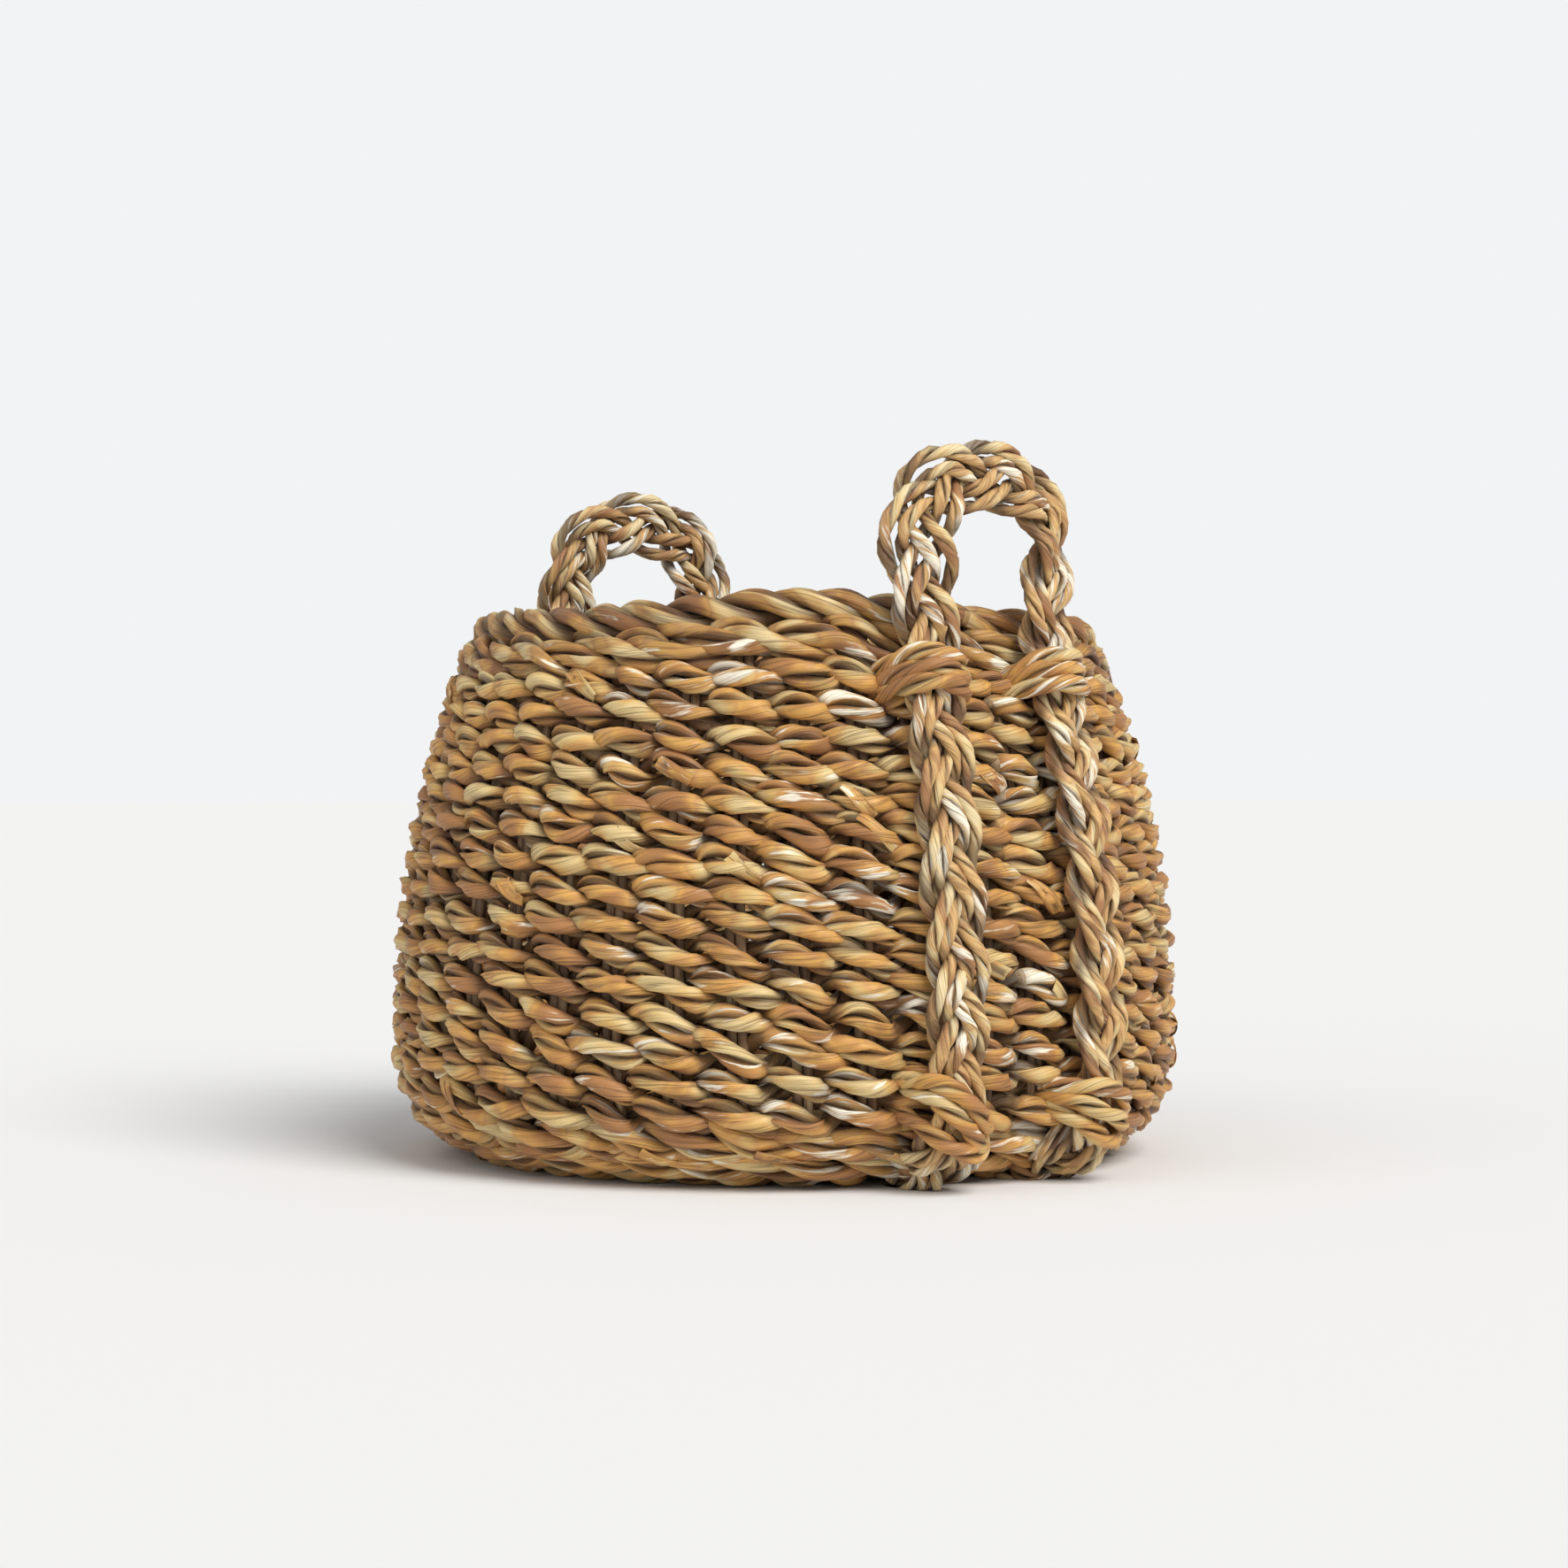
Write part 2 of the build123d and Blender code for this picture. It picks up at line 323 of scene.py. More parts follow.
def markGrooves(tree, given, body):
    # how far out of the grooves a point stands, between the plies and between the cords; the finishes paint
    # shade into the grooves where it is low
    here, side = position(tree), attribute(tree, "side", "FLOAT_VECTOR")
    fromAxis = vectorMaths(tree, "SUBTRACT", here, attribute(tree, "axis", "FLOAT_VECTOR"))
    full = times(tree, maths(tree, "ADD", given["Offset Up"], given["Ply Deep"]), attribute(tree, "thick"))
    out = maths(tree, "DIVIDE", vectorMaths(tree, "LENGTH", fromAxis), full)
    proud = smoothStep(tree, out, *cordDetail["proud"])
    fromCore = vectorMaths(tree, "SUBTRACT", here, attribute(tree, "core", "FLOAT_VECTOR"))
    height = maths(tree, "ABSOLUTE", vectorMaths(tree, "DOT_PRODUCT", fromCore, side))
    clear = smoothStep(tree, height, given["Groove Low"], given["Groove High"])
    return store(tree, body, "open", times(tree, proud, clear))


def laidCordTree():
    tree = bpy.data.node_groups.new("laidCord", "GeometryNodeTree")
    for name, kind in cordInputs:
        tree.interface.new_socket(name, in_out="INPUT", socket_type="NodeSocket" + kind)
    tree.interface.new_socket("Geometry", in_out="OUTPUT", socket_type="NodeSocketGeometry")
    given = tree.nodes.new("NodeGroupInput").outputs
    curve = varyPlies(tree, given, spreadPlies(tree, given))
    links = {"Curve": curve, "Profile Curve": plySection(tree, given), "Fill Caps": True}
    body = addNode(tree, "GeometryNodeCurveToMesh", links).outputs[0]
    body = markGrooves(tree, given, wrinkleLeaf(tree, given, body))
    body = addNode(tree, "GeometryNodeSetShadeSmooth", {"Geometry": body}).outputs[0]
    body = addNode(tree, "GeometryNodeRealizeInstances", {"Geometry": body}).outputs[0]
    links = {"Geometry": body, "Material": given["Finish"]}
    addNode(tree, "NodeGroupOutput", {"Geometry": addNode(tree, "GeometryNodeSetMaterial", links).outputs[0]})
    return tree


cordTree = laidCordTree()
scratchFields = (
    "thick", "lay", "tone", "side", "run", "turn", "ply", "around", "axis", "core", "custom_normal",
)


def layCord(name, strands, cord, finish):
    # the paths turned into plies, as one plain mesh object
    holder = bpy.data.objects.new(name + "Path", pathMesh(name + "Path", strands))
    bpy.context.scene.collection.objects.link(holder)
    modifier = holder.modifiers.new("cord", "NODES")
    modifier.node_group = cordTree
    groove = cord.get("groove", (0.0, 0.0001))
    values = {
        "Plies": cord["plies"], "Offset Across": cord["offset"][0], "Offset Up": cord["offset"][1],
        "Ply Deep": cord["ply"][0], "Ply Wide": cord["ply"][1], "Sides": cord["sides"],
        "Keen Edge": cord.get("keen", 0.35), "Swell": cord.get("swell", 0.9), "Roll": cord.get("roll", 1.6),
        "Groove Low": groove[0], "Groove High": groove[1],
        "Wrinkle": cord["wrinkle"], "Seed": cord.get("seed", 1), "Finish": finish,
    }
    for item in cordTree.interface.items_tree:
        if item.in_out == "INPUT" and item.name in values:
            modifier[item.identifier] = values[item.name]
    bpy.context.view_layer.update()
    ready = holder.evaluated_get(bpy.context.evaluated_depsgraph_get())
    mesh = bpy.data.meshes.new_from_object(ready)
    mesh.name = name
    bpy.data.objects.remove(holder)
    for extra in scratchFields:
        if extra in mesh.attributes:
            mesh.attributes.remove(mesh.attributes[extra])
    piece = bpy.data.objects.new(name, mesh)
    bpy.context.scene.collection.objects.link(piece)
    return piece


# finishes
def ramp(tree, value, stops):
    node = addNode(tree, "ShaderNodeValToRGB", {0: value})
    colors = node.color_ramp.elements
    while len(colors) < len(stops):
        colors.new(0.5)
    for element, (place, color) in zip(colors, stops):
        element.position = place
        element.color = (*color, 1)
    return node.outputs[0]


def mixColors(tree, factor, first, second):
    node = addNode(tree, "ShaderNodeMix", {"Factor": factor}, data_type="RGBA")
    for socket, value in ((node.inputs[6], first), (node.inputs[7], second)):
        if isinstance(value, bpy.types.NodeSocket):
            tree.links.new(value, socket)
        else:
            socket.default_value = (*value, 1)
    return node.outputs[2]


leafSettings = {"Fibre": 1.0, "Tone Run": 1.0, "Skin": 0.5, "Edge": 0.5}
leafGrain = {       # stretch along and round the leaf, detail and roughness
    "tone": ((0.42, 0.16, 0.16), 2.0, 0.5),
    "streak": ((0.55, 3.4, 3.4), 3.0, 0.62),
    "fine": ((1.1, 9.0, 9.0), 2.0, 0.6),
    "skin": ((0.5, 0.9, 0.9), 3.0, 0.6),
    "fold": ((0.16, 1.3, 1.3), 1.0, 0.5),
}
leafMasks = {
    "creaseWide": 0.035,
    "skinFrom": 0.68, "skinMore": 0.36, "skinSoft": 0.09,
    "tone": (0.35, 0.65), "streak": (0.36, 0.64),
    "fibreShare": 0.6,      # coarse fibre in the streaks, the rest is fine
    "relief": (0.55, 0.30, 0.9),    # coarse fibre, fine fibre and creases in the height
}


def leafNoise(tree, grain, kind, scale=1.0):
    stretch, detail, rough = leafGrain[kind]
    place = vectorMaths(tree, "MULTIPLY", grain, stretch)
    links = {"Vector": place, "Scale": scale, "Detail": detail, "Roughness": rough}
    return addNode(tree, "ShaderNodeTexNoise", links).outputs[0]


def meshField(tree, name, output="Fac"):
    return addNode(tree, "ShaderNodeAttribute", attribute_name=name).outputs[output]


def leafGroup():
    # dried leaf: lengthwise fibre, slow change of tone along the ply, pale skins with painted highlight,
    # painted shade in creases and grooves
    tree = bpy.data.node_groups.new("seagrassLeaf", "ShaderNodeTree")
    for name, start in leafSettings.items():
        tree.interface.new_socket(name, in_out="INPUT", socket_type="NodeSocketFloat").default_value = start
    for name in ("Tone", "Streak", "Pale", "Crease", "Groove", "Height"):
        tree.interface.new_socket(name, in_out="OUTPUT", socket_type="NodeSocketFloat")
    given = tree.nodes.new("NodeGroupInput").outputs
    grain, mask = meshField(tree, "grain", "Vector"), leafMasks
    tone = leafNoise(tree, grain, "tone", given["Tone Run"])
    streak = leafNoise(tree, grain, "streak", given["Fibre"])
    fine = leafNoise(tree, grain, "fine", given["Fibre"])
    # fold lines: painted shade in the colour, and sunk a little in the bump
    fold = maths(tree, "ABSOLUTE", maths(tree, "SUBTRACT", leafNoise(tree, grain, "fold"), 0.5))
    crease = smoothStep(tree, fold, 0.0, mask["creaseWide"], 1.0, 0.0)
    # pale patches: pale leaf skin and painted highlight
    more = times(tree, given["Skin"], meshField(tree, "pale"), mask["skinMore"])
    start = maths(tree, "SUBTRACT", mask["skinFrom"], more)
    end = maths(tree, "ADD", start, mask["skinSoft"])
    pale = smoothStep(tree, leafNoise(tree, grain, "skin"), start, end)
    coarseShare, fineShare, creaseShare = mask["relief"]
    height = maths(tree, "MULTIPLY_ADD", streak, coarseShare, times(tree, fine, fineShare))
    height = maths(tree, "SUBTRACT", height, times(tree, crease, times(tree, given["Edge"], creaseShare)))
    mixed = maths(tree, "MULTIPLY_ADD", streak, mask["fibreShare"], times(tree, fine, 1 - mask["fibreShare"]))
    addNode(tree, "NodeGroupOutput", {
        "Tone": smoothStep(tree, tone, *mask["tone"]), "Streak": smoothStep(tree, mixed, *mask["streak"]),
        "Pale": pale, "Crease": crease, "Groove": maths(tree, "SUBTRACT", 1.0, meshField(tree, "open")),
        "Height": height,
    })
    return tree


leaf = leafGroup()


def seagrass(name, look):
    material = bpy.data.materials.new(name)
    material.use_nodes = True
    tree = material.node_tree
    shader = tree.nodes["Principled BSDF"]
    part = addNode(tree, "ShaderNodeGroup", node_tree=leaf)
    for key in leafSettings:
        part.inputs[key].default_value = look[key]
    color = ramp(tree, part.outputs["Tone"], look["tones"])
    # the Crease and Groove layers are painted shade: they mix the colour towards the shadow colour
    for mask, amount, tint in (("Streak", "streak", "dark"), ("Pale", "paleness", "pale"),
                               ("Crease", "creasePaintedShade", "shadow"), ("Groove", "groovePaintedShade", "shadow")):
        color = mixColors(tree, times(tree, part.outputs[mask], look[amount]), color, look[tint])
    tree.links.new(color, shader.inputs["Base Color"])
    smooth, coarse = look["rough"]
    links = {"Value": part.outputs["Streak"], "To Min": smooth, "To Max": coarse}
    tree.links.new(addNode(tree, "ShaderNodeMapRange", links).outputs[0], shader.inputs["Roughness"])
    links = {"Height": part.outputs["Height"], "Strength": look["bump"], "Distance": look["relief"]}
    tree.links.new(addNode(tree, "ShaderNodeBump", links).outputs[0], shader.inputs["Normal"])
    shader.inputs["Sheen Weight"].default_value = look["sheen"]
    shader.inputs["Specular IOR Level"].default_value = look["specular"]
    return material


weaveLook = {
    "tones": (
        (0.0, (0.45, 0.208, 0.070)), (0.2, (0.60, 0.292, 0.078)), (0.42, (0.75, 0.410, 0.098)),
        (0.58, (0.66, 0.345, 0.115)), (0.78, (0.77, 0.500, 0.165)), (1.0, (0.81, 0.62, 0.29))),
    "dark": (0.25, 0.105, 0.036), "streak": 0.32,
    # the pale colour stands for pale leaf and for painted highlight
    "pale": (0.97, 0.91, 0.75), "paleness": 0.92,
    # the shadow colour is painted shade, laid into the creases and grooves
    "shadow": (0.085, 0.040, 0.018), "creasePaintedShade": 0.50, "groovePaintedShade": 0.84,
    "rough": (0.36, 0.60), "bump": 0.55, "relief": 0.0008, "sheen": 0.08, "specular": 0.42,
    **leafSettings, "Skin": 0.72,
}
rimLook = {
    **weaveLook, "Skin": 0.5,
    "tones": (
        (0.0, (0.30, 0.135, 0.050)), (0.2, (0.45, 0.215, 0.060)), (0.45, (0.60, 0.335, 0.085)),
        (0.62, (0.48, 0.255, 0.092)), (0.8, (0.68, 0.45, 0.165)), (1.0, (0.76, 0.60, 0.31))),
}
plaitLook = {
    # more pale leaf and painted highlight on the plait, and a little less painted shade in its grooves
    **weaveLook, "Skin": 0.85, "groovePaintedShade": 0.80,
    "tones": (
        (0.0, (0.42, 0.205, 0.085)), (0.2, (0.61, 0.355, 0.145)), (0.42, (0.79, 0.51, 0.20)),
        (0.6, (0.68, 0.40, 0.17)), (0.8, (0.88, 0.66, 0.31)), (1.0, (0.92, 0.76, 0.44))),
}
stakeLook = {
    **weaveLook, "paleness": 0.4,
    "tones": ((0.0, (0.12, 0.070, 0.036)), (0.5, (0.26, 0.160, 0.08)), (1.0, (0.42, 0.29, 0.155))),
}
weaveFinish = seagrass("wovenSeagrass", weaveLook)
rimFinish = seagrass("rimSeagrass", rimLook)
plaitFinish = seagrass("plaitedSeagrass", plaitLook)
stakeFinish = seagrass("stakeSeagrass", stakeLook)
print("finishes made")


# twined rows
rowCord = {
    "plies": 2, "offset": (0.00165, 0.00225), "ply": (0.00230, 0.00302), "sides": 12, "wrinkle": 0.0036,
    "keen": 0.62, "swell": 1.25, "roll": 2.2, "layLength": 0.052,
    "reach": 0.00475,       # middle of a cord to the wall's middle, over a stake
    "groove": (0.0015, 0.0070),
    "steps": 12,            # points from one stake to the next
    "taper": 0.80,          # thickness left at a stitch's ends, where the cords cross
    "overlap": 0.07,        # how far a stitch runs past the crossing, in stakes
    "square": 0.62,         # low is a blunt stitch, high a pointed one
}
heelCord = {**rowCord, "slope": 0.0048, "layLength": 0.064, "taper": 0.58, "square": 0.8, "rows": (1, 2)}
rowSlope = {"low": 0.0034, "high": 0.0021}     # how far a stitch climbs or drops, less higher up
upperCord = {**rowCord, "offset": (0.00170, 0.00242), "ply": (0.00238, 0.00330), "taper": 0.9, "fromRow": 11}
straying = {
    "round": 0.16,          # all in stakes, metres or a share of the usual
    "upDown": 0.0007,
    "slope": (0.4, 1.9),
    "reach": (0.90, 1.16),
    "thick": (0.90, 1.16),
    "pale": (-0.6, 1.0),
}
fullness = {"outside": 0.7, "inside": 0.25}     # low keeps a stitch fat to its ends and closes gaps
probe = 0.001       # short step outwards that shows which way the wall faces


def paleOnLitSide(turn):
    # painted highlight: the pale mask is strongest on the side the key light falls on, weaker round the rest
    away = degreesFrom(turn, wallShape["paleAt"])
    return 0.3 + 0.7 * np.exp(-(away / wallShape["paleWide"]) ** 2)


def rowSpread(turn, along):
    # cords are fatter where the rows part
    half = 0.005
    return 1 + (swayAt(turn, along + half) - swayAt(turn, along - half)) / (2 * half)


def twined(along, stakes, cord, over, under, rng):
    # cords that pass over some stakes outside and under the next inside, cord after cord one stake on
    period = over + under
    joined = math.gcd(stakes, period) == 1     # then one cord goes round several times before it meets itself
    total = stakes * (period if joined else 1)
    half = (0.5 * over + cord["overlap"]) / period
    firstCrossing = math.pi / wallShape["stakes"] * (wallShape["stakes"] / stakes - 1)
    s = np.arange(total * cord["steps"]) / cord["steps"]

    def vary(low, high):
        return smoothRandom(rng, total, low, high)(s)

    strands = []
    for number in range(1 if joined else period):
        share = ((s - number - 0.5 * over) / period + 0.5) % 1 - 0.5      # 0 is an outside stitch's middle
        outside = np.abs(share) < half
        stroke = np.where(outside, share / half, (share % 1 - 0.5) / (0.5 - half)) * math.pi / 2
        swing = np.where(outside, np.cos(stroke), -np.cos(stroke))
        lean = np.where(outside, -np.sin(stroke), np.sin(stroke))
        turn = (s + vary(-straying["round"], straying["round"])) * 2 * math.pi / stakes + firstCrossing
        outward = cord["reach"] * np.sign(swing) * np.abs(swing) ** cord["square"] * vary(*straying["reach"])
        climb = cord["slope"] * lean * vary(*straying["slope"])
        shift = climb + vary(-straying["upDown"], straying["upDown"])
        radius, level = wallLine(along + shift, outward)
        points = onRing(radius, turn, level + settledSway(turn, along))
        facing, lift = wallLine(along + shift, outward + probe)
        wallFace = onRing(facing - radius, turn, lift - level) / probe
        length, around = lengthAlong(points, True)
        twists = max(2, round(around / cord["layLength"]))
        lay = -2 * math.pi * twists * length / around + rng.uniform(0, 6.28)
        swell = np.abs(swing) ** np.where(outside, fullness["outside"], fullness["inside"])
        thick = (cord["taper"] + (1 - cord["taper"]) * swell) * vary(*straying["thick"])
        # pale leaf, with painted highlight strongest on the lit side
        pale = np.clip(vary(*straying["pale"]), 0, 1) * paleOnLitSide(turn)
        core = points - wallFace * np.asarray(outward)[:, None]
        strands.append({"points": points, "side": wallFace, "core": core, "lay": lay,
                        "thick": thick * rowSpread(turn, along), "tone": rng.uniform(0, 9), "pale": pale,
                        "closed": True, "share": share / half})
    return strands


leafEnd = {
    "plies": 1, "offset": (0.0, 0.0), "ply": (0.00024, 0.00260), "sides": 8, "wrinkle": 0.0030, "keen": 0.0,
    "often": 0.06,          # share of the stitches that show one
    "start": -0.2,          # where on the stitch, from -1 to 1
    "strays": 3,            # steps of the cord either way
    "points": (7, 11),      # length, in steps of the cord it belongs to
    "reach": (0.0034, 0.0042),      # off the cord's middle, outwards and up or down
    "from": (-0.5, 0.9), "to": (-1.25, -0.2),       # angle round the cord at its two ends
    "curl": (0.0, 0.0012),
    "wide": (0.5, 0.85),
    "tip": 0.06,            # share of the width left at its ends
    "toneApart": 0.3,
}
leafEnds = []


def turnOutLeaves(strands, rng):
    # ends of leaf that lie slantwise over a stitch and stand a little off it at the tip
    for strand in strands:
        points, out, start = strand["points"], strand["side"], leafEnd["start"]
        for middle in np.flatnonzero((strand["share"][:-1] < start) & (strand["share"][1:] >= start)):
            if rng.random() > leafEnd["often"]:
                continue
            first = middle + rng.integers(-leafEnd["strays"], leafEnd["strays"] + 1)
            run = (first + np.arange(rng.integers(*leafEnd["points"]))) % len(points)
            forward = points[(run + 1) % len(points)] - points[run - 1]
            aside = np.cross(out[run], forward)
            aside *= (np.sign(aside[:, 2]) / np.linalg.norm(aside, axis=1))[:, None]
            t = np.linspace(0, 1, len(run))[:, None]
            angle = rng.uniform(*leafEnd["from"]) * (1 - t) + rng.uniform(*leafEnd["to"]) * t
            facing = np.cos(angle) * out[run] + np.sin(angle) * aside
            high, wide = leafEnd["reach"]
            lift = high * np.cos(angle) * out[run] + wide * np.sin(angle) * aside
            lift = lift * strand["thick"][run][:, None] + facing * t ** 2 * rng.uniform(*leafEnd["curl"])
            wide = rng.uniform(*leafEnd["wide"])
            swell = leafEnd["tip"] + (1 - leafEnd["tip"]) * np.sin(math.pi * t[:, 0]) ** 0.9
            tone = strand["tone"] + rng.uniform(-leafEnd["toneApart"], leafEnd["toneApart"])
            pale = strand["pale"][run] * (0.4 + 0.6 * t[:, 0])
            leafEnds.append({"points": points[run] + lift, "side": facing, "thick": wide * swell, "lay": 0.0,
                             "tone": tone, "pale": pale, "closed": False})


floorGap = 0.0002


def restOnFloor(piece):
    # cords are pressed flat where the basket stands
    for vertex in piece.data.vertices:
        vertex.co.z = max(vertex.co.z, floorGap)


def place(piece, body, slot, *nodes):
    restOnFloor(piece)
    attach(piece, body)
    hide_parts(*nodes)


def makeRow(node, along, stakes, cord, over=1, under=1, finish=weaveFinish, slot="weaving_cord"):
    rng = np.random.default_rng([wallShape["seed"], int(abs(along) * 1e5)])
    strands = twined(along, stakes, cord, over, under, rng)
    if along > 0:
        turnOutLeaves(strands, rng)
    piece = layCord(node + "_weave", strands, {**cord, "seed": int(rng.integers(999))}, finish)
    place(piece, "basket", slot, node)


def nodesNamed(start):
    return sorted(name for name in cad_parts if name.startswith(start))


def makeWall():
    nodes = nodesNamed("wall_row")
    for number, node in enumerate(nodes):
        heel = number in heelCord["rows"]
        slope = rowSlope["low"] + (rowSlope["high"] - rowSlope["low"]) * number / len(nodes)
        plain = upperCord if number >= upperCord["fromRow"] else rowCord
        cord = heelCord if heel else {**plain, "slope": slope}
        makeRow(node, (number + 0.5) * wallShape["rowPitch"], wallShape["stakes"], cord, 2 if heel else 1)
    print("wall rows woven:", len(nodes))
    piece = layCord("loose_leaf_ends", leafEnds, leafEnd, weaveFinish)
    restOnFloor(piece)
    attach(piece, "basket")
    print("loose leaf ends:", len(leafEnds))


makeWall()


# stakes and base
stakeCord = {
    "plies": 1, "offset": (0.0, 0.0), "ply": (0.00170, 0.00185), "sides": 7, "wrinkle": 0.0008,
    "apart": 0.0036, "step": 0.0042, "wander": 0.0006, "waves": 60,
    "top": 0.2015,                      # along the wall's line, where they end
    "long": 0.024, "short": 0.068,      # out from the middle of the base, where they start
}


def makeStakes(kind, shift):
    # every second stake is a long one, five to a side of the basket
    along = np.arange(stakeCord[kind] - heelStart, stakeCord["top"], stakeCord["step"])
    radius, height = wallLine(along, 0)
    outRate, upRate = unit(np.gradient(np.stack([radius, height]), axis=1).T).T
    for number, side in enumerate(("right", "back", "left", "front")):
        rng = np.random.default_rng([number, shift, 3])
        strands = []
        for stake in range(wallShape["stakes"] // 8):
            turn = math.radians(90 * number - 45 + 360 / wallShape["stakes"] * (2 * stake + shift + 0.5))
            wander = stakeCord["wander"] * np.sin(along * stakeCord["waves"] + rng.uniform(0, 6))
            for sideways in (-0.5, 0.5):
                across = stakeCord["apart"] * sideways + wander
                aside = onRing(across, turn + math.pi / 2, settledSway(turn, along))
                strands.append({"points": onRing(radius, turn, height) + aside,
                                "side": onRing(upRate, turn, -outRate), "thick": 1.0, "lay": 0.0,
                                "tone": rng.uniform(0, 9), "closed": False})
        cord = {**stakeCord, "seed": number * 2 + shift}
        piece = layCord(f"{kind}_stakes_{side}_cords", strands, cord, stakeFinish)
        place(piece, "basket", "stake_cord", f"{kind}_stakes_{side}")


baseCord = {
    **rowCord, "reach": 0.0040, "offset": (0.0013, 0.0021), "ply": (0.0022, 0.0027), "steps": 6, "sides": 8,
    "layLength": 0.040, "slope": 0.0028, "taper": 0.75, "groove": (0.001, 0.0055),
}
centreCord = {**baseCord, "layLength": 0.02, "ply": (0.0021, 0.0025)}
baseShape = {
    "fullStakesFrom": 0.068,
    "centreRings": ((0.0065, 10), (0.0125, 10), (0.0190, 20)),      # radius, stakes
    "centreRadius": 0.0235,
    "crossHalf": 0.0165, "crossCords": 6, "crossPoints": 14, "crossLevel": 0.0017,
}


def makeBaseRows():
    nodes = nodesNamed("base_row")
    for number, node in enumerate(nodes):
        along = -wallShape["rowPitch"] * (len(nodes) - number - 0.5)
        whole = heelStart + along > baseShape["fullStakesFrom"]
        makeRow(node, along, wallShape["stakes"] if whole else wallShape["stakes"] // 2, baseCord)


def makeBaseCentre():
    rng = np.random.default_rng(5)
    strands = []
    for radius, stakes in baseShape["centreRings"]:
        strands += twined(radius - heelStart, stakes, centreCord, 1, 1, rng)
    piece = layCord("base_centre_weave", strands, centreCord, weaveFinish)
    place(piece, "basket", "weaving_cord", "base_centre")
    # the first stakes cross in two layers, one each way
    cross, level, count = [], baseShape["crossLevel"], baseShape["crossPoints"]
    for lane in np.linspace(-baseShape["crossHalf"], baseShape["crossHalf"], baseShape["crossCords"]):
        half = math.sqrt(baseShape["centreRadius"] ** 2 - lane ** 2)
        run = np.linspace(-half, half, count)
        for height, order in ((baseMiddle + level, (0, 1, 2)), (baseMiddle - level, (1, 0, 2))):
            points = np.stack([run, np.full(count, lane), np.full(count, height)], axis=1)[:, order]
            cross.append({"points": points, "side": np.tile((0.0, 0.0, 1.0), (count, 1)), "thick": 1.0,
                          "lay": rng.uniform(0, 6), "tone": rng.uniform(0, 9), "closed": False})
    piece = layCord("base_cross_stakes", cross, stakeCord, stakeFinish)
    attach(piece, "basket")


makeStakes("long", 0)
makeStakes("short", 1)
makeBaseRows()
makeBaseCentre()
print("base and stakes made")


# rim
rimCord = {
    **rowCord, "offset": (0.00165, 0.00235), "ply": (0.00235, 0.00315), "layLength": 0.070,
    "reach": 0.0049, "slope": 0.0056, "taper": 0.66, "square": 0.7, "at": 0.1950,
}
ropeShape = {
    "at": 0.20845, "strands": 3, "across": 0.0041, "up": 0.0040, "strandLay": 0.0525, "step": 0.0019,
    "plump": (0.86, 1.14), "jitter": 0.35, "pale": (-0.6, 0.8), "groove": (0.0030, 0.0070),
    "plies": 2, "offset": (0.00140, 0.00170), "ply": (0.00225, 0.00310), "layLength": 0.058, "sides": 12,
    "wrinkle": 0.0026,
}


def makeRope():
    rope = ropeShape
    rng = np.random.default_rng(21)
    centre, level = (float(value) for value in wallLine(rope["at"], 0))
    count = int(2 * math.pi * centre / rope["step"])
    turn = np.arange(count) / count * 2 * math.pi
    sway = swayAt(turn, rope["at"])
    lays = round(2 * math.pi * centre / rope["strandLay"])
    lap = turn / (2 * math.pi) * lays
    strands = []
    for number in range(rope["strands"]):
        plump = smoothRandom(rng, lays * 2, *rope["plump"])(lap * 2)
        jitter = smoothRandom(rng, lays * 3, -rope["jitter"], rope["jitter"])(lap * 3)
        # pale leaf, with painted highlight strongest on the lit side
        paleLeafAndHighlight = np.clip(smoothRandom(rng, lays * 4, *rope["pale"])(lap * 4), 0, 1) * paleOnLitSide(turn)
        spin = -turn * lays + 2 * math.pi * number / rope["strands"] + jitter
        radius, height = wallLine(rope["at"] + rope["up"] * np.sin(spin), rope["across"] * np.cos(spin))
        points = onRing(radius, turn, height + sway)
        length, around = lengthAlong(points, True)
        twists = round(around / rope["layLength"])
        lay = -2 * math.pi * twists * length / around + rng.uniform(0, 6)
        strands.append({"points": points, "side": onRing(np.cos(spin), turn, np.sin(spin)),
                        "core": onRing(centre, turn, level + sway), "thick": plump, "lay": lay,
                        "tone": rng.uniform(0, 9), "pale": paleLeafAndHighlight, "closed": True})
    piece = layCord("rim_rope_strands", strands, {**rope, "seed": 4}, rimFinish)
    place(piece, "basket", "rim_cord", "rim_rope")


makeRow("rim_lower_row", rimCord["at"], wallShape["stakes"], rimCord, 2, 1, rimFinish, "rim_cord")
makeRope()
print("rim made")


# handles
handleShape = {     # loop: half its width and its height, from the foot to the top
    "right": {
        "turn": 0.0, "strap": 11.6, "seed": 1, "twist": 26.0, "loose": (0.04, 0.32),
        "loop": ((0.0265, 0.203), (0.0285, 0.214), (0.0296, 0.224), (0.0285, 0.2325), (0.0235, 0.2405),
                 (0.0150, 0.2452), (0.0, 0.2472)),
    },
    "left": {
        "turn": 176.0, "strap": 14.5, "seed": 2, "twist": 18.0, "loose": (0.22, 0.10),
        "loop": ((0.0318, 0.203), (0.0325, 0.214), (0.0318, 0.224), (0.0290, 0.233), (0.0235, 0.2415),
                 (0.0150, 0.2465), (0.0, 0.2487)),
    },
}
strapShape = {
    "offset": 0.0139,       # middle of the plait to the wall's middle
    "tailOffset": 0.003, "tailFrom": 0.006, "fullFrom": 0.030, "tuckAside": 0.075,
    "hinge": 0.1995, "standoff": 0.0020, "standFrom": 0.02,
    "lean": 0.0020, "leanFrom": 0.2, "leanOver": 0.05,
    "twistFrom": 0.206, "twistOver": 0.012,     # the loop's face turns once it is clear of the rim
    "fine": 0.001, "soften": 7,     # millimetre steps for rounding the line off
    "bend": (0.006, 0.012),         # below and above the hinge
}
